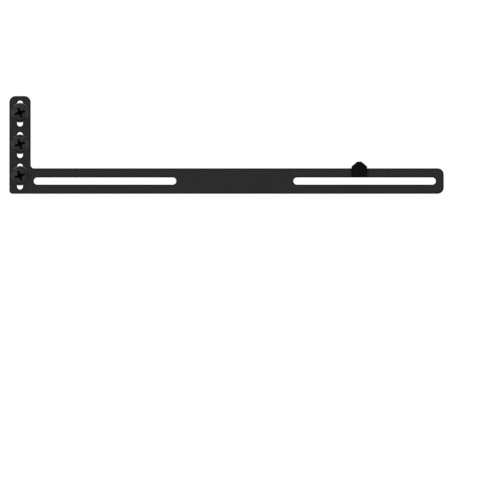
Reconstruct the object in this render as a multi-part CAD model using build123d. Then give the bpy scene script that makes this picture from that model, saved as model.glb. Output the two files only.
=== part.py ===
from build123d import *
import os

# Support bracket for a graphics card: a slotted L-shaped plate that stands upright, a rubber pad
# clipped over the upper edge of its long arm, and three screws through its upright arm.
#
# The plate lies in the XZ plane. Its front face looks towards -Y, and its back face, which bears on
# the computer case, is at y = 0. The origin is on the axis of the middle screw, at the back face.
# +X runs along the long arm and +Z is up. All sizes are in millimetres.

# Driving dimensions of the plate
PLATE_LENGTH = 280.0
PLATE_HEIGHT = 63.0
PLATE_THICKNESS = 2.0
UPRIGHT_WIDTH = 13.7
ARM_HEIGHT = 16.4
END_CORNER_RADIUS = 4.0
HEEL_CORNER_RADIUS = 2.1
INNER_CORNER_RADIUS = 2.3
EDGE_ROUND = 0.12

# Driving dimensions of the three short slots, which are one expansion slot apart
EXPANSION_SLOT_PITCH = 20.32
SLOT_WIDTH = 3.8
SLOT_LENGTH = 16.7
LOWEST_SLOT_RISE = 11.1

# Driving dimensions of the two long windows, placed from the plate's outer corner
WINDOW_WIDTH = 4.6
WINDOW_LENGTH = 91.9
WINDOW_STARTS = (15.7, 183.1)

# Driving dimensions of the screws, size 6-32 by 5/16 inch
SCREW_ABOVE_SLOT_CENTRE = 0.5
FLANGE_DIAMETER = 12.6
FLANGE_THICKNESS = 1.0
FLANGE_BEVEL_WIDTH = 0.5
FLANGE_BEVEL_DROP = 0.4
FLANGE_RIM_ROUND = 0.15
DOME_DIAMETER = 10.8
CROWN_DIAMETER = 9.2
CROWN_DROP = 0.6
CROWN_EDGE_ROUND = 0.5
HEAD_HEIGHT = 3.2
NECK_DIAMETER = 3.1
THREAD_DIAMETER = 3.5
THREAD_LENGTH = 5.5
TIP_DIAMETER = 2.4
TIP_LENGTH = 0.5

# Driving dimensions of the cross recess in each head
RECESS_SPAN = 6.8
RECESS_WING_WIDTH = 1.3
RECESS_DEPTH = 2.6
RECESS_CORE_DIAMETER = 2.8
RECESS_CORE_FLOOR_DIAMETER = 1.4
RECESS_TIP_DEPTH = 0.8
RECESS_TURN = 19.0

# Driving dimensions of the rubber pad
PAD_WIDTH = 10.0
PAD_TOP_WIDTH = 2.6
PAD_RISE = 4.3
PAD_SHOULDER_DROP = 3.15
PAD_CENTRE_FROM_CORNER = 225.6
PAD_LEG_THICKNESS = 1.9
PAD_GROOVE_PLAY = 0.05
PAD_EDGE_ROUND = 0.35

# Places that follow from the driving dimensions
screw_heights = [row * EXPANSION_SLOT_PITCH for row in (-1, 0, 1)]
slot_heights = [height - SCREW_ABOVE_SLOT_CENTRE for height in screw_heights]
left_edge = -UPRIGHT_WIDTH / 2
right_edge = left_edge + PLATE_LENGTH
bottom_edge = slot_heights[0] - LOWEST_SLOT_RISE
top_edge = bottom_edge + PLATE_HEIGHT
upright_right_edge = left_edge + UPRIGHT_WIDTH
arm_top_edge = bottom_edge + ARM_HEIGHT
window_height = bottom_edge + ARM_HEIGHT / 2
rail_height = (ARM_HEIGHT - WINDOW_WIDTH) / 2
pad_centre = left_edge + PAD_CENTRE_FROM_CORNER


def corner_at(outline, across, along):
    """The corner of a flat outline that lies nearest to a point."""
    return outline.vertices().sort_by_distance((across, along, 0))[0]


def plate_outline():
    """The L-shaped outline with its rounded corners, drawn with z as the sheet's second axis."""
    outline = make_face(
        Polyline(
            (left_edge, bottom_edge),
            (right_edge, bottom_edge),
            (right_edge, arm_top_edge),
            (upright_right_edge, arm_top_edge),
            (upright_right_edge, top_edge),
            (left_edge, top_edge),
            close=True,
        )
    )
    rounded_corners = [
        (left_edge, bottom_edge, HEEL_CORNER_RADIUS),
        (right_edge, bottom_edge, END_CORNER_RADIUS),
        (right_edge, arm_top_edge, END_CORNER_RADIUS),
        (upright_right_edge, arm_top_edge, INNER_CORNER_RADIUS),
        (upright_right_edge, top_edge, END_CORNER_RADIUS),
        (left_edge, top_edge, END_CORNER_RADIUS),
    ]
    for x, z, radius in rounded_corners:
        outline = fillet(corner_at(outline, x, z), radius)
    return outline


def make_plate():
    """The plate, with its slots and windows, and every edge of both faces slightly rounded."""
    outline = plate_outline()
    for height in slot_heights:
        outline -= Pos(0, height) * SlotOverall(SLOT_LENGTH, SLOT_WIDTH, rotation=90)
    for start in WINDOW_STARTS:
        centre = left_edge + start + WINDOW_LENGTH / 2
        outline -= Pos(centre, window_height) * SlotOverall(WINDOW_LENGTH, WINDOW_WIDTH)
    plate = extrude(Plane.XZ * outline, PLATE_THICKNESS)
    faces = plate.faces().filter_by(Axis.Y).sort_by(Axis.Y)
    return fillet(faces[0].edges() + faces[-1].edges(), EDGE_ROUND)


def make_screw_blank():
    """A pan-head screw with a flange, turned about the Y axis. Its neck passes through the plate."""
    bearing = -PLATE_THICKNESS
    flange_radius = FLANGE_DIAMETER / 2
    neck_radius = NECK_DIAMETER / 2
    thread_radius = THREAD_DIAMETER / 2
    crown_top = (0, bearing - HEAD_HEIGHT)
    crown_edge = (CROWN_DIAMETER / 2, bearing - HEAD_HEIGHT + CROWN_DROP)
    flange_top = bearing - FLANGE_THICKNESS
    bevel_start = (flange_radius - FLANGE_BEVEL_WIDTH, flange_top)
    bevel_end = (flange_radius, flange_top + FLANGE_BEVEL_DROP)
    half_section = make_face(
        [
            TangentArc(crown_top, crown_edge, tangent=(1, 0)),
            Polyline(
                crown_edge,
                (DOME_DIAMETER / 2, flange_top),
                bevel_start,
                bevel_end,
                (flange_radius, bearing),
                (neck_radius, bearing),
                (neck_radius, 0),
                (thread_radius, 0),
                (thread_radius, THREAD_LENGTH),
                (TIP_DIAMETER / 2, THREAD_LENGTH + TIP_LENGTH),
                (0, THREAD_LENGTH + TIP_LENGTH),
                crown_top,
            ),
        ]
    )
    half_section = fillet(corner_at(half_section, *crown_edge), CROWN_EDGE_ROUND)
    for corner in (bevel_start, bevel_end):
        half_section = fillet(corner_at(half_section, *corner), FLANGE_RIM_ROUND)
    return revolve(half_section, Axis.Y)


def make_recess():
    """The cross recess: two crossed wings that slope down to a tapered core with a pointed floor."""
    head_top = -PLATE_THICKNESS - HEAD_HEIGHT
    floor_plane = Plane((0, head_top + RECESS_DEPTH, 0), x_dir=(1, 0, 0), z_dir=(0, -1, 0))
    cross = Rectangle(RECESS_SPAN, RECESS_WING_WIDTH) + Rectangle(RECESS_WING_WIDTH, RECESS_SPAN)
    wings = extrude(floor_plane * Rot(0, 0, RECESS_TURN) * cross, RECESS_DEPTH)
    floor_radius = RECESS_CORE_FLOOR_DIAMETER / 2
    upwards = (Align.CENTER, Align.CENTER, Align.MIN)
    downwards = (Align.CENTER, Align.CENTER, Align.MAX)
    slope = Cone(floor_radius, RECESS_SPAN / 2, RECESS_DEPTH, align=upwards)
    core = Cone(floor_radius, RECESS_CORE_DIAMETER / 2, RECESS_DEPTH, align=upwards)
    tip = Cone(0, floor_radius, RECESS_TIP_DEPTH, align=downwards)
    return (wings & floor_plane * slope) + floor_plane * (core + tip)


def make_screw(height):
    """One screw with its recess, on its own axis at the given height."""
    return Pos(0, 0, height) * (make_screw_blank() - make_recess())


def make_pad():
    """The pad: a house-shaped block over the rail, with a groove that leaves a leg down each face."""
    half_width = PAD_WIDTH / 2
    half_top = PAD_TOP_WIDTH / 2
    pad_top = arm_top_edge + PAD_RISE
    shoulder = pad_top - PAD_SHOULDER_DROP
    leg_foot = arm_top_edge - rail_height + PAD_GROOVE_PLAY
    section = make_face(
        Polyline(
            (pad_centre - half_width, leg_foot),
            (pad_centre + half_width, leg_foot),
            (pad_centre + half_width, shoulder),
            (pad_centre + half_top, pad_top),
            (pad_centre - half_top, pad_top),
            (pad_centre - half_width, shoulder),
            close=True,
        )
    )
    groove_width = PLATE_THICKNESS + 2 * PAD_GROOVE_PLAY
    depth = groove_width + 2 * PAD_LEG_THICKNESS
    middle = -PLATE_THICKNESS / 2
    block = extrude(Plane.XZ.offset(-middle) * section, depth / 2, both=True)
    block = fillet(block.edges(), PAD_EDGE_ROUND)
    groove_roof = arm_top_edge + PAD_GROOVE_PLAY
    hang = (Align.CENTER, Align.CENTER, Align.MAX)
    groove = Box(2 * PAD_WIDTH, groove_width, 2 * rail_height, align=hang)
    return block - Pos(pad_centre, middle, groove_roof) * groove


parts = {"bracket_plate": make_plate(), "rubber_pad": make_pad()}
for name, height in zip(("screw_bottom", "screw_middle", "screw_top"), screw_heights):
    parts[name] = make_screw(height)

os.makedirs("parts", exist_ok=True)
for name, shape in parts.items():
    export_step(shape, f"parts/{name}.step")
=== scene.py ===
import math
import bmesh
import bpy
from mathutils import Matrix, Vector
from mathutils.geometry import delaunay_2d_cdt


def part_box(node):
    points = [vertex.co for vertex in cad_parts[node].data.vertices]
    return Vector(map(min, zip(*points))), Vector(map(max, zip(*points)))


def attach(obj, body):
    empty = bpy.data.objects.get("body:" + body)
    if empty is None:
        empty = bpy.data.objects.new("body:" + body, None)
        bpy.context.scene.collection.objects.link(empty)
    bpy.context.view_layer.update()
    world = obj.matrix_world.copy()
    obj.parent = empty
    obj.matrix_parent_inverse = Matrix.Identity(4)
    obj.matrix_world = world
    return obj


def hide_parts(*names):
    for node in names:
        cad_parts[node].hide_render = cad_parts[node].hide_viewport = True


# A graphics card support bracket: slotted plate, rubber pad and three screws, each modelled as its
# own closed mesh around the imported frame. Lengths are in metres unless a name says otherwise.

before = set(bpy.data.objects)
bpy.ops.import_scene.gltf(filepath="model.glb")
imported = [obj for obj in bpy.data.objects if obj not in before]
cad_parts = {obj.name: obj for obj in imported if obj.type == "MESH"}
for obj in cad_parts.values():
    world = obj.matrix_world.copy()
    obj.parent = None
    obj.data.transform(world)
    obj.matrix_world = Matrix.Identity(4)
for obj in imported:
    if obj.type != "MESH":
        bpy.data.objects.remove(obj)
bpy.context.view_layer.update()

MM = 0.001

# Places read from the frame
plate_low, plate_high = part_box("bracket_plate")
pad_low, pad_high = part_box("rubber_pad")
SCREWS = {"top_screw": "screw_top", "middle_screw": "screw_middle", "bottom_screw": "screw_bottom"}
screw_centres = {}
for piece_name, node_name in SCREWS.items():
    low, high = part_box(node_name)
    screw_centres[piece_name] = (low.z + high.z) / 2

# Plate
UPRIGHT_WIDTH = 13.7 * MM
ARM_HEIGHT = 16.4 * MM
END_CORNER_RADIUS = 4.0 * MM
HEEL_CORNER_RADIUS = 2.1 * MM
INNER_CORNER_RADIUS = 2.3 * MM
PLATE_EDGE_ROUND = 0.12 * MM
PLATE_EDGE_BAND = 0.9 * MM
SLOT_COUNT = 3
SLOT_PITCH = 20.32 * MM
SLOT_WIDTH = 3.8 * MM
SLOT_LENGTH = 16.7 * MM
LOWEST_SLOT_RISE = 11.1 * MM
WINDOW_WIDTH = 4.6 * MM
WINDOW_LENGTH = 91.9 * MM
WINDOW_STARTS = (15.7 * MM, 183.1 * MM)

# Rubber pad
PAD_TOP_WIDTH = 2.6 * MM
PAD_RISE = 4.3 * MM
PAD_SHOULDER_DROP = 3.15 * MM
PAD_GROOVE_PLAY = 0.05 * MM
PAD_CORNER_ROUND = 0.45 * MM
PAD_EDGE_ROUND = 0.4 * MM
PAD_EDGE_BAND = 0.6 * MM
MOULD_LINE_HEIGHT = 0.05 * MM
MOULD_LINE_WIDTH = 0.22 * MM

# Screws, measured from the bearing face of the flange, outwards for the head
FLANGE_RADIUS = 6.3 * MM
FLANGE_THICKNESS = 1.0 * MM
FLANGE_BEVEL_WIDTH = 0.5 * MM
FLANGE_BEVEL_DROP = 0.4 * MM
FLANGE_RIM_ROUND = 0.15 * MM
BEARING_GAP = 0.01 * MM
DOME_RADIUS = 5.4 * MM
DOME_FOOT_ROUND = 0.15 * MM
CROWN_RADIUS = 4.6 * MM
CROWN_DROP = 0.6 * MM
CROWN_ROUND_START = 0.87
CROWN_EDGE_ROUND = 0.5 * MM
HEAD_HEIGHT = 3.2 * MM
NECK_RADIUS = 1.55 * MM
THREAD_RADIUS = 1.75 * MM
THREAD_ROOT_RADIUS = 1.3 * MM
THREAD_PITCH = 25.4 / 32 * MM
THREAD_LENGTH = 5.5 * MM
THREAD_RUN_IN = 0.45 * MM
THREAD_FLANK_GAIN = 1.3
THREAD_ROOT_CUT = 0.15
TIP_RADIUS = 1.2 * MM
TIP_LENGTH = 0.5 * MM

# Cross recess of the screws
RECESS_HALF_SPAN = 3.4 * MM
RECESS_HALF_WIDTH = 0.65 * MM
RECESS_DEPTH = 2.6 * MM
RECESS_CORE_RADIUS = 1.4 * MM
RECESS_CORE_FLOOR_RADIUS = 0.7 * MM
RECESS_TIP_DEPTH = 0.8 * MM
RECESS_TIP_SHARE = 0.1
RECESS_WING_TAPER = 0.08
RECESS_LIP_ROUND = 0.08 * MM
RECESS_END_ROUND = 0.25 * MM
RECESS_OVERSHOOT = 0.5 * MM
RECESS_TURN_DEGREES = 19

# Fineness of the meshes
ARC_STEPS = 12
EDGE_STEPS = 5
WING_STEPS = 6
RECESS_STEPS = 4
TURN_STEPS = 96
THREAD_STEPS_A_PITCH = 14

# How near two points are one, and the triangulation's mode that keeps the holes open
SAME_POINT = 0.001 * MM
INSIDE_WITH_HOLES = 2

# From what angle between its faces an edge stays sharp
SHARP_ANGLE_DEGREES = 38

# The point attribute that tells the materials how near an edge is, where they paint shade along the
# edges, and the share of the band beside an edge where it stays at its full value
EDGE_ATTRIBUTE = "edge_nearness"
EDGE_BAND_CORE = 0.4

# The materials' noises: how fine they are, and the part of the range that their values fill
PATCH_DETAIL = 4.0
GRAIN_DETAIL = 3.0
NOISE_MIDDLE = (0.3, 0.7)

# The colour sockets of a mix node
COLOUR_A, COLOUR_B, COLOUR_RESULT = 6, 7, 2

# The photograph's frame, in its own pixels, and where the plate lies in it
PHOTO_SIZE = 500
PHOTO_PLATE_LEFT = 9.47
PHOTO_PLATE_RIGHT = 443.64
PHOTO_PLATE_FOOT = 193.8
CAMERA_DISTANCE = 4.0
CAMERA_SIGHT = 3 * CAMERA_DISTANCE

# The floor, how far under the plate it lies, and where it turns from matt to plain white
FLOOR_LEVEL = 0.93
FLOOR_DROP = 0.2
FLOOR_REACH = 6.0
FLOOR_FADE_START = 0.25
FLOOR_FADE_END = 1.2

# The light: the sky's strength, and each lamp's offset from the plate's centre, size and watts
SKY_STRENGTH = 0.5
LAMPS = {
    "key": ((-0.68, -0.34, 1.18), 0.8, 9.0),
    "top": ((0.45, -0.34, 1.25), 0.8, 5.5),
    "front": ((-0.9, -1.3, 0.3), 1.2, 2.5),
    "fill": ((1.0, -0.9, 0.1), 0.8, 1.2),
    "behind": ((0.3, 1.1, 0.6), 0.9, 6.0),
    "above": ((0.0, 0.1, 1.3), 1.0, 4.0),
}


def rounded_path(corners, inset=0.0, closed=True, steps=ARC_STEPS, run_steps=1):
    """Points of a path whose corners (across, along, radius) are arcs of so many steps.

    A positive inset moves a closed anticlockwise path inwards, by drawing each arc about the same
    centre with another radius, down to a sharp corner. Straight runs can be divided into equal
    steps.
    """
    points = []
    count = len(corners)
    for index, (across, along, radius) in enumerate(corners):
        here = Vector((across, along))
        is_end = not closed and index in (0, count - 1)
        if is_end or radius == 0:
            points.append(here)
            continue
        before = here - Vector(corners[index - 1][:2])
        after = Vector(corners[(index + 1) % count][:2]) - here
        before.normalize()
        after.normalize()
        turn = math.atan2(before.x * after.y - before.y * after.x, before.dot(after))
        side = math.copysign(1, turn)
        left = Vector((-before.y, before.x))
        reach = max(radius, side * inset)
        centre = here - before * reach * math.tan(abs(turn) / 2) + left * side * reach
        spoke = -left * side * (reach - side * inset)
        for step in range(steps + 1):
            points.append(centre + Matrix.Rotation(turn * step / steps, 2) @ spoke)
    if run_steps == 1:
        return points
    divided = []
    for index, point in enumerate(points):
        following = points[(index + 1) % len(points)]
        is_run = (index + 1) % (steps + 1) == 0
        for step in range(run_steps if is_run else 1):
            divided.append(point.lerp(following, step / run_steps))
    return divided


def skin_loops(mesh, rings):
    """Joins rings of equally many points into a closed band and returns the rings' vertices."""
    made = [[mesh.verts.new(point) for point in ring] for ring in rings]
    for upper, lower in zip(made, made[1:]):
        for index in range(len(upper)):
            following = (index + 1) % len(upper)
            mesh.faces.new((upper[index], upper[following], lower[following], lower[index]))
    return made


def fill_flat(mesh, loops):
    """Triangles between the vertices of an outline and those of the holes in it."""
    vertices = []
    borders = []
    for loop in loops:
        borders.append(list(range(len(vertices), len(vertices) + len(loop))))
        vertices += loop
    points = [vertex.co.xz for vertex in vertices]
    _, _, triangles, sources, _, _ = delaunay_2d_cdt(points, [], borders, INSIDE_WITH_HOLES, 0)
    for corners in triangles:
        mesh.faces.new([vertices[sources[corner][0]] for corner in corners])


def edge_profile(front, back, radius, band):
    """Inset, depth and nearness to an edge, over the rounded edges from the front to the back.

    The nearness is 1 on the edges and falls to 0 across a band on the faces beside them. The materials
    paint shade along the edges by it.
    """
    profile = [(radius + band, front, 0), (radius + EDGE_BAND_CORE * band, front, 1)]
    for step in range(EDGE_STEPS + 1):
        angle = math.pi / 2 * step / EDGE_STEPS
        profile.append((radius * (1 - math.sin(angle)), front + radius * (1 - math.cos(angle)), 1))
    profile.append((0, front + radius + EDGE_BAND_CORE * band, 0))
    return profile + [(inset, front + back - depth, near) for inset, depth, near in reversed(profile)]


def new_object(name, mesh, material):
    """A scene object that holds a finished bmesh, with all its faces looking outwards."""
    bmesh.ops.remove_doubles(mesh, verts=mesh.verts, dist=SAME_POINT)
    bmesh.ops.recalc_face_normals(mesh, faces=mesh.faces)
    data = bpy.data.meshes.new(name)
    data.materials.append(material)
    mesh.to_mesh(data)
    mesh.free()
    piece = bpy.data.objects.new(name, data)
    bpy.context.scene.collection.objects.link(piece)
    return piece


def solid_from_loops(name, loops_at, profile, material):
    """A flat solid with rounded edges. loops_at(inset) gives its outline and holes at an inset."""
    mesh = bmesh.new()
    # Nearness to the edges, by which the materials paint shade there
    edge_nearness = mesh.verts.layers.float.new(EDGE_ATTRIBUTE)
    loops_by_level = [loops_at(inset) for inset, _, _ in profile]
    bands = []
    for loops in zip(*loops_by_level):
        rings = []
        for loop, (_, depth, _) in zip(loops, profile):
            rings.append([(point.x, depth, point.y) for point in loop])
        bands.append(skin_loops(mesh, rings))
        for ring, (_, _, near) in zip(bands[-1], profile):
            for vertex in ring:
                vertex[edge_nearness] = near
    for end in (0, -1):
        fill_flat(mesh, [band[end] for band in bands])
    return new_object(name, mesh, material)


def cut_from(blank, cutter):
    """Takes the cutter's volume out of the blank, for good. The cut faces keep the cutter's material.
    """
    modifier = blank.modifiers.new("cut", "BOOLEAN")
    modifier.operation = "DIFFERENCE"
    modifier.solver = "EXACT"
    modifier.material_mode = "TRANSFER"
    modifier.object = cutter
    graph = bpy.context.evaluated_depsgraph_get()
    blank.data = bpy.data.meshes.new_from_object(blank.evaluated_get(graph))
    blank.modifiers.clear()
    mesh = bmesh.new()
    mesh.from_mesh(blank.data)
    bmesh.ops.dissolve_degenerate(mesh, dist=SAME_POINT, edges=mesh.edges)
    mesh.to_mesh(blank.data)
    mesh.free()
    bpy.data.objects.remove(cutter)


def slot_outline(across, along, length, width, upright, grow):
    """A slot with round ends, anticlockwise, made larger all round by the given amount."""
    half_run = (length - width) / 2
    points = []
    for end in (1, -1):
        for step in range(2 * ARC_STEPS + 1):
            angle = math.pi * (step / (2 * ARC_STEPS) - 0.5) + (math.pi if end < 0 else 0)
            reach = width / 2 + grow
            point = Vector((end * half_run + reach * math.cos(angle), reach * math.sin(angle)))
            if upright:
                point = Vector((-point.y, point.x))
            points.append(point + Vector((across, along)))
    return points


def plate_loops(inset):
    """The plate's outline and its five slots, at an inset into the metal."""
    left, right = plate_low.x, plate_high.x
    foot, top = plate_low.z, plate_high.z
    arm_top = foot + ARM_HEIGHT
    upright_right = left + UPRIGHT_WIDTH
    corners = (
        (left, foot, HEEL_CORNER_RADIUS),
        (right, foot, END_CORNER_RADIUS),
        (right, arm_top, END_CORNER_RADIUS),
        (upright_right, arm_top, INNER_CORNER_RADIUS),
        (upright_right, top, END_CORNER_RADIUS),
        (left, top, END_CORNER_RADIUS),
    )
    loops = [rounded_path(corners, inset)]
    slot_middle = left + UPRIGHT_WIDTH / 2
    for row in range(SLOT_COUNT):
        height = foot + LOWEST_SLOT_RISE + row * SLOT_PITCH
        loops.append(slot_outline(slot_middle, height, SLOT_LENGTH, SLOT_WIDTH, True, inset))
    window_height = foot + ARM_HEIGHT / 2
    for start in WINDOW_STARTS:
        middle = left + start + WINDOW_LENGTH / 2
        loops.append(slot_outline(middle, window_height, WINDOW_LENGTH, WINDOW_WIDTH, False, inset))
    return loops


def make_plate(material):
    """The slotted plate, cut from one sheet, with its edges rounded over."""
    profile = edge_profile(plate_low.y, plate_high.y, PLATE_EDGE_ROUND, PLATE_EDGE_BAND)
    return solid_from_loops("slotted_plate", plate_loops, profile, material)


def pad_loops(inset):
    """The pad's house-shaped outline, at an inset into the rubber."""
    middle = (pad_low.x + pad_high.x) / 2
    shoulder = pad_high.z - PAD_SHOULDER_DROP
    corners = (
        (pad_low.x, pad_low.z, PAD_CORNER_ROUND),
        (pad_high.x, pad_low.z, PAD_CORNER_ROUND),
        (pad_high.x, shoulder, PAD_CORNER_ROUND),
        (middle + PAD_TOP_WIDTH / 2, pad_high.z, PAD_CORNER_ROUND),
        (middle - PAD_TOP_WIDTH / 2, pad_high.z, PAD_CORNER_ROUND),
        (pad_low.x, shoulder, PAD_CORNER_ROUND),
    )
    return [rounded_path(corners, inset)]


def make_pad(material):
    """The pad, with a fine mould line round its middle and a groove for the plate's rail."""
    profile = edge_profile(pad_low.y, pad_high.y, PAD_EDGE_ROUND, PAD_EDGE_BAND)
    middle = (pad_low + pad_high) / 2
    mould_line = [
        (0, middle.y - MOULD_LINE_WIDTH / 2, 0),
        (-MOULD_LINE_HEIGHT, middle.y, 0),
        (0, middle.y + MOULD_LINE_WIDTH / 2, 0),
    ]
    half = len(profile) // 2
    profile[half:half] = mould_line
    pad = solid_from_loops("card_pad", pad_loops, profile, material)
    groove_roof = pad_high.z - PAD_RISE + PAD_GROOVE_PLAY
    width = pad_high.x - pad_low.x
    height = groove_roof - pad_low.z
    depth = plate_high.y - plate_low.y + 2 * PAD_GROOVE_PLAY
    size = Matrix.Diagonal((2 * width, depth, 2 * height, 1))
    place = Matrix.Translation((middle.x, middle.y, groove_roof - height))
    groove = bmesh.new()
    bmesh.ops.create_cube(groove, size=1)
    bmesh.ops.transform(groove, matrix=place @ size, verts=groove.verts)
    cut_from(pad, new_object("groove", groove, material))
    return pad


def crown_depth(radius):
    """How far the crown's surface lies under the top of the head, at a distance from the axis."""
    ball = (CROWN_RADIUS**2 + CROWN_DROP**2) / (2 * CROWN_DROP)
    return ball - math.sqrt(ball**2 - radius**2)


def head_profile(bearing):
    """Pairs of radius and depth over the head, from the crown's centre to the neck's foot.

    The flange stops a hair short of the plate that it bears on.
    """
    top = bearing - HEAD_HEIGHT
    crown_end = CROWN_ROUND_START * CROWN_RADIUS
    crown = []
    for step in range(ARC_STEPS):
        radius = crown_end * step / ARC_STEPS
        crown.append(Vector((radius, top + crown_depth(radius))))
    corners = (
        (crown_end, top + crown_depth(crown_end), 0),
        (CROWN_RADIUS, top + CROWN_DROP, CROWN_EDGE_ROUND),
        (DOME_RADIUS, bearing - FLANGE_THICKNESS, DOME_FOOT_ROUND),
        (FLANGE_RADIUS - FLANGE_BEVEL_WIDTH, bearing - FLANGE_THICKNESS, FLANGE_RIM_ROUND),
        (FLANGE_RADIUS, bearing - FLANGE_THICKNESS + FLANGE_BEVEL_DROP, FLANGE_RIM_ROUND),
        (FLANGE_RADIUS, bearing - BEARING_GAP, 0),
        (NECK_RADIUS, bearing - BEARING_GAP, 0),
        (NECK_RADIUS, 0, 0),
    )
    return crown + rounded_path(corners, closed=False, steps=EDGE_STEPS)


def thread_radius(depth, angle):
    """The radius of the threaded stretch, which fades in at the neck and is cut by the tip's cone.

    The ridge is a triangle wave with its root and its crest cut flat.
    """
    phase = (depth / THREAD_PITCH - angle / (2 * math.pi)) % 1
    ridge = THREAD_FLANK_GAIN * (1 - abs(2 * phase - 1)) - THREAD_ROOT_CUT
    ridge = min(max(ridge, 0), 1)
    radius = THREAD_ROOT_RADIUS + ridge * (THREAD_RADIUS - THREAD_ROOT_RADIUS)
    fade = min(depth / THREAD_RUN_IN, 1)
    fade = fade * fade * (3 - 2 * fade)
    radius = NECK_RADIUS + fade * (radius - NECK_RADIUS)
    past = max(depth - THREAD_LENGTH, 0) / TIP_LENGTH
    return min(radius, THREAD_RADIUS + past * (TIP_RADIUS - THREAD_RADIUS))


def make_screw_blank(bearing, material):
    """The turned screw with its thread, about the Y axis, still without its recess."""
    mesh = bmesh.new()
    angles = [2 * math.pi * step / TURN_STEPS for step in range(TURN_STEPS)]

    def ring(radius_at, depth):
        return [(radius_at(a) * math.sin(a), depth, radius_at(a) * math.cos(a)) for a in angles]

    rings = []
    for radius, depth in head_profile(bearing)[1:]:
        rings.append(ring(lambda angle, radius=radius: radius, depth))
    length = THREAD_LENGTH + TIP_LENGTH
    steps = round(length / THREAD_PITCH * THREAD_STEPS_A_PITCH)
    for step in range(1, steps + 1):
        depth = length * step / steps
        rings.append(ring(lambda angle, depth=depth: thread_radius(depth, angle), depth))
    made = skin_loops(mesh, rings)
    for end, depth in ((0, bearing - HEAD_HEIGHT), (-1, length)):
        centre = mesh.verts.new((0, depth, 0))
        loop = made[end]
        for index in range(len(loop)):
            mesh.faces.new((loop[index - 1], loop[index], centre))
    return new_object("screw_blank", mesh, material)


def recess_outline(share, grow):
    """The cross at a share of the recess's depth, made larger all round by the given amount."""
    span = RECESS_HALF_SPAN + share * (RECESS_CORE_FLOOR_RADIUS - RECESS_HALF_SPAN) + grow
    width = RECESS_HALF_WIDTH * (1 - RECESS_WING_TAPER * share) + grow
    core = RECESS_CORE_RADIUS + share * (RECESS_CORE_FLOOR_RADIUS - RECESS_CORE_RADIUS) + grow
    span = max(span, width + 2 * RECESS_LIP_ROUND)
    inner_round = max((core - math.sqrt(2) * width) / (math.sqrt(2) - 1), RECESS_LIP_ROUND)
    end_round = min(RECESS_END_ROUND, (span - width) / 2)
    corners = []
    for quarter in range(4):
        spin = Matrix.Rotation(math.pi / 2 * quarter, 2)
        wing = ((span, -width, end_round), (span, width, end_round), (width, width, inner_round))
        for across, along, radius in wing:
            point = spin @ Vector((across, along))
            corners.append((point.x, point.y, radius))
    return rounded_path(corners, steps=EDGE_STEPS, run_steps=WING_STEPS)


def make_recess_cutter(bearing, material):
    """A crossed plug that tapers to a point, and whose upper rings follow the crown."""
    levels = [(-RECESS_OVERSHOOT, RECESS_OVERSHOOT + RECESS_LIP_ROUND), (0, RECESS_LIP_ROUND)]
    for step in range(RECESS_STEPS + 1):
        share = step / RECESS_STEPS
        levels.append((RECESS_LIP_ROUND + share * (RECESS_DEPTH - RECESS_LIP_ROUND), 0))
    turn = Matrix.Rotation(math.radians(-RECESS_TURN_DEGREES), 4, "Y")
    head_top = bearing - HEAD_HEIGHT
    rings = []
    for depth, grow in levels:
        share = max(depth / RECESS_DEPTH, 0)
        ring = []
        for point in recess_outline(share, grow):
            surface = crown_depth(point.length) * (1 - share)
            ring.append(turn @ Vector((point.x, head_top + depth + surface, point.y)))
        rings.append(ring)
    tip_height = head_top + RECESS_DEPTH + RECESS_TIP_DEPTH
    shrink = Matrix.Diagonal((RECESS_TIP_SHARE, 0, RECESS_TIP_SHARE))
    rings.append([shrink @ point + Vector((0, tip_height, 0)) for point in rings[-1]])
    mesh = bmesh.new()
    made = skin_loops(mesh, rings)
    for end in (0, -1):
        mesh.faces.new(made[end])
    bmesh.ops.triangulate(mesh, faces=mesh.faces)
    return new_object("recess", mesh, material)


def make_screws(material, recess_shade_material):
    """Three alike screws, one at each height, with the heads' flanges bearing on the plate."""
    bearing = plate_low.y
    blank = make_screw_blank(bearing, material)
    # The recess's faces take the cutter's material, which paints shade into the cross
    cut_from(blank, make_recess_cutter(bearing, recess_shade_material))
    screws = []
    for name, height in screw_centres.items():
        data = blank.data.copy()
        data.name = name
        data.transform(Matrix.Translation((0, 0, height)))
        screw = bpy.data.objects.new(name, data)
        bpy.context.scene.collection.objects.link(screw)
        screws.append(screw)
    bpy.data.objects.remove(blank)
    return screws


def add_node(tree, kind, settings=None, **inputs):
    """A shader node with its settings and inputs. An input is a value or another node's socket."""
    node = tree.nodes.new(kind)
    for key, value in (settings or {}).items():
        setattr(node, key, value)
    for key, value in inputs.items():
        socket = node.inputs[key.replace("_", " ")]
        if isinstance(value, bpy.types.NodeSocket):
            tree.links.new(value, socket)
        else:
            socket.default_value = value
    return node


def spread(tree, noise, limits):
    """Stretches the middle of a noise over the range between two limits."""
    stretch = add_node(tree, "ShaderNodeMapRange", Value=noise)
    values = {"From Min": NOISE_MIDDLE[0], "From Max": NOISE_MIDDLE[1]}
    values |= {"To Min": limits[0], "To Max": limits[1]}
    for socket, value in values.items():
        stretch.inputs[socket].default_value = value
    return stretch.outputs["Result"]


def blend_colours(tree, share, first, second):
    """The colour between two others. The first may be a socket."""
    blend = add_node(tree, "ShaderNodeMix", {"data_type": "RGBA"})
    tree.links.new(share, blend.inputs["Factor"])
    for socket, colour in ((COLOUR_A, first), (COLOUR_B, second)):
        if isinstance(colour, bpy.types.NodeSocket):
            tree.links.new(colour, blend.inputs[socket])
        else:
            blend.inputs[socket].default_value = colour
    return blend.outputs[COLOUR_RESULT]


def grey(level):
    """An opaque neutral colour."""
    return (level, level, level, 1)


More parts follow.
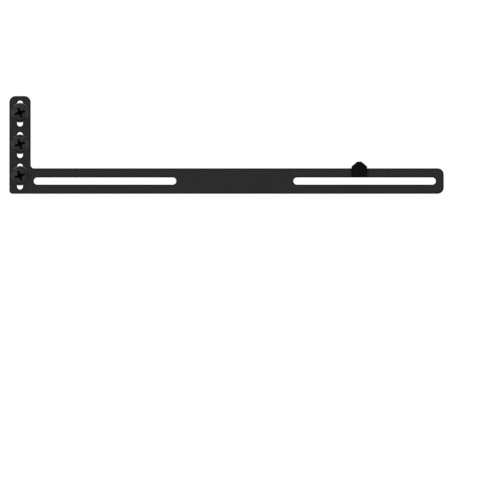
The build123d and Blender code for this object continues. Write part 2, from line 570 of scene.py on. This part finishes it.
def coated_material(name, dark, light, edge, rough, patch_size, grain_size, grain_height, **shader):
    """A dark coat: two tones in slow patches, a third tone painted along the edges as shade, and a
    fine grain.
    """
    material = bpy.data.materials.new(name)
    material.use_nodes = True
    tree = material.node_tree
    tree.nodes.clear()
    place = add_node(tree, "ShaderNodeTexCoord").outputs["Object"]
    patches = add_node(
        tree, "ShaderNodeTexNoise", Vector=place, Scale=1 / patch_size, Detail=PATCH_DETAIL
    )
    grain = add_node(
        tree, "ShaderNodeTexNoise", Vector=place, Scale=1 / grain_size, Detail=GRAIN_DETAIL
    )
    patch = spread(tree, patches.outputs["Fac"], (0, 1))
    tone = blend_colours(tree, patch, dark, light)
    nearness = add_node(tree, "ShaderNodeAttribute", {"attribute_name": EDGE_ATTRIBUTE})
    # Painted shade: near the edges the colour turns to the darker edge tone
    colour = blend_colours(tree, nearness.outputs["Fac"], tone, edge)
    roughness = spread(tree, grain.outputs["Fac"], rough)
    bump = add_node(tree, "ShaderNodeBump", Height=grain.outputs["Fac"], Distance=grain_height)
    surface = add_node(
        tree,
        "ShaderNodeBsdfPrincipled",
        Base_Color=colour,
        Roughness=roughness,
        Normal=bump.outputs["Normal"],
        **shader,
    )
    add_node(tree, "ShaderNodeOutputMaterial", Surface=surface.outputs["BSDF"])
    return material


def dress(piece, body, node):
    """Finishes a piece: its smooth and sharp edges, and its place in the frame."""
    piece.data.shade_smooth()
    piece.data.set_sharp_from_angle(angle=math.radians(SHARP_ANGLE_DEGREES))
    weighting = piece.modifiers.new("even_normals", "WEIGHTED_NORMAL")
    weighting.keep_sharp = True
    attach(piece, body)
    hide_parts(node)


def white_for_eye(tree, lit, white):
    """Mixes a lit surface or sky with plain white, which camera, mirror and glass rays see."""
    path = add_node(tree, "ShaderNodeLightPath")
    seen = path.outputs["Is Camera Ray"]
    for ray in ("Is Glossy Ray", "Is Transmission Ray"):
        both = add_node(tree, "ShaderNodeMath", {"operation": "MAXIMUM"})
        tree.links.new(seen, both.inputs[0])
        tree.links.new(path.outputs[ray], both.inputs[1])
        seen = both.outputs[0]
    mix = add_node(tree, "ShaderNodeMixShader", Fac=seen)
    tree.links.new(lit, mix.inputs[1])
    tree.links.new(white, mix.inputs[2])
    return mix.outputs[0]


def make_world(strength):
    """An even pale sky that lights softly from all sides, and reads as white to the eye."""
    world = bpy.data.worlds.new("studio")
    bpy.context.scene.world = world
    world.use_nodes = True
    tree = world.node_tree
    tree.nodes.clear()
    lit = add_node(tree, "ShaderNodeBackground", Color=grey(1.0), Strength=strength)
    white = add_node(tree, "ShaderNodeBackground", Color=grey(1.0), Strength=1.0)
    mixed = white_for_eye(tree, lit.outputs[0], white.outputs[0])
    add_node(tree, "ShaderNodeOutputWorld", Surface=mixed)


def floor_material(middle):
    """A pale matt floor that takes the shadow near the object and fades to white further away."""
    material = bpy.data.materials.new("pale_floor")
    material.use_nodes = True
    tree = material.node_tree
    tree.nodes.clear()
    geometry = add_node(tree, "ShaderNodeNewGeometry")
    offset = add_node(tree, "ShaderNodeVectorMath", {"operation": "DISTANCE"})
    tree.links.new(geometry.outputs["Position"], offset.inputs[0])
    offset.inputs[1].default_value = middle
    fade = add_node(tree, "ShaderNodeMapRange", {"interpolation_type": "SMOOTHSTEP"})
    tree.links.new(offset.outputs["Value"], fade.inputs["Value"])
    fade.inputs["From Min"].default_value = FLOOR_FADE_START
    fade.inputs["From Max"].default_value = FLOOR_FADE_END
    matt = add_node(tree, "ShaderNodeBsdfDiffuse", Color=grey(FLOOR_LEVEL))
    glow = add_node(tree, "ShaderNodeEmission", Color=grey(1.0), Strength=1.0)
    near_white = white_for_eye(tree, matt.outputs[0], glow.outputs[0])
    mix = add_node(tree, "ShaderNodeMixShader", Fac=fade.outputs["Result"])
    tree.links.new(matt.outputs[0], mix.inputs[1])
    tree.links.new(near_white, mix.inputs[2])
    add_node(tree, "ShaderNodeOutputMaterial", Surface=mix.outputs[0])
    return material


def make_floor(middle):
    """A large level floor under the object."""
    mesh = bmesh.new()
    bmesh.ops.create_grid(mesh, x_segments=1, y_segments=1, size=FLOOR_REACH)
    bmesh.ops.transform(mesh, matrix=Matrix.Translation(middle), verts=mesh.verts)
    new_object("floor", mesh, floor_material(middle))


def add_softbox(name, place, target, size, power):
    """A square area lamp that faces a point."""
    data = bpy.data.lights.new(name, "AREA")
    data.shape = "SQUARE"
    data.size = size
    data.energy = power
    lamp = bpy.data.objects.new(name, data)
    lamp.location = place
    direction = Vector(target) - Vector(place)
    lamp.rotation_euler = direction.to_track_quat("-Z", "Y").to_euler()
    bpy.context.scene.collection.objects.link(lamp)


def make_lamps(centre):
    """Soft lamps: the main one high on the front left, weaker ones right, behind and above."""
    for name, (offset, size, power) in LAMPS.items():
        add_softbox(name, centre + Vector(offset), centre, size, power)


def make_camera():
    """A level camera, far off, that sees the plate at the photograph's place and size."""
    length = plate_high.x - plate_low.x
    pixel = length / (PHOTO_PLATE_RIGHT - PHOTO_PLATE_LEFT)
    centre_x = plate_low.x + (PHOTO_SIZE / 2 - PHOTO_PLATE_LEFT) * pixel
    centre_z = plate_low.z + (PHOTO_PLATE_FOOT - PHOTO_SIZE / 2) * pixel
    data = bpy.data.cameras.new("camera")
    data.lens = data.sensor_width * CAMERA_DISTANCE / (PHOTO_SIZE * pixel)
    data.clip_end = CAMERA_SIGHT
    camera = bpy.data.objects.new("camera", data)
    camera.location = (centre_x, -CAMERA_DISTANCE, centre_z)
    camera.rotation_euler = (math.pi / 2, 0, 0)
    bpy.context.scene.collection.objects.link(camera)
    bpy.context.scene.camera = camera


plate_coat = coated_material(
    "black_anodised",
    dark=grey(0.0142),
    light=grey(0.0158),
    # Painted shade along the plate's edges: a far darker tone than the coat
    edge=grey(0.0020),
    rough=(0.46, 0.58),
    patch_size=9 * MM,
    grain_size=0.16 * MM,
    grain_height=0.004 * MM,
    Specular_IOR_Level=0.12,
)
pad_rubber = coated_material(
    "black_rubber",
    dark=grey(0.0028),
    light=grey(0.0042),
    # Painted shade along the pad's edges: a darker tone than the rubber
    edge=grey(0.0012),
    rough=(0.80, 0.95),
    patch_size=3 * MM,
    grain_size=0.22 * MM,
    grain_height=0.012 * MM,
    Specular_IOR_Level=0.05,
)
screw_coat = coated_material(
    "black_zinc",
    dark=(0.0040, 0.0040, 0.0045, 1),
    light=(0.0060, 0.0060, 0.0068, 1),
    edge=grey(0.0050),
    rough=(0.24, 0.34),
    patch_size=1.5 * MM,
    grain_size=0.10 * MM,
    grain_height=0.0015 * MM,
    Specular_IOR_Level=0.27,
)
# Painted shade in the cross recess: a colour far darker than the screw's coat stands in for the shade
# deep inside; the finish there is also rougher and duller
recess_shade_coat = coated_material(
    "recess_painted_shade",
    dark=grey(0.0010),
    light=grey(0.0018),
    edge=grey(0.0010),
    rough=(0.80, 0.95),
    patch_size=0.8 * MM,
    grain_size=0.08 * MM,
    grain_height=0.003 * MM,
    Specular_IOR_Level=0.04,
)

dress(make_plate(plate_coat), "bracket", "bracket_plate")
dress(make_pad(pad_rubber), "support_pad", "rubber_pad")
for screw in make_screws(screw_coat, recess_shade_coat):
    dress(screw, "fixing_screws", SCREWS[screw.name])

object_centre = (plate_low + plate_high) / 2
make_world(SKY_STRENGTH)
make_lamps(object_centre)
make_floor(Vector((object_centre.x, 0, plate_low.z - FLOOR_DROP)))
make_camera()
bpy.context.scene.view_settings.view_transform = "Standard"
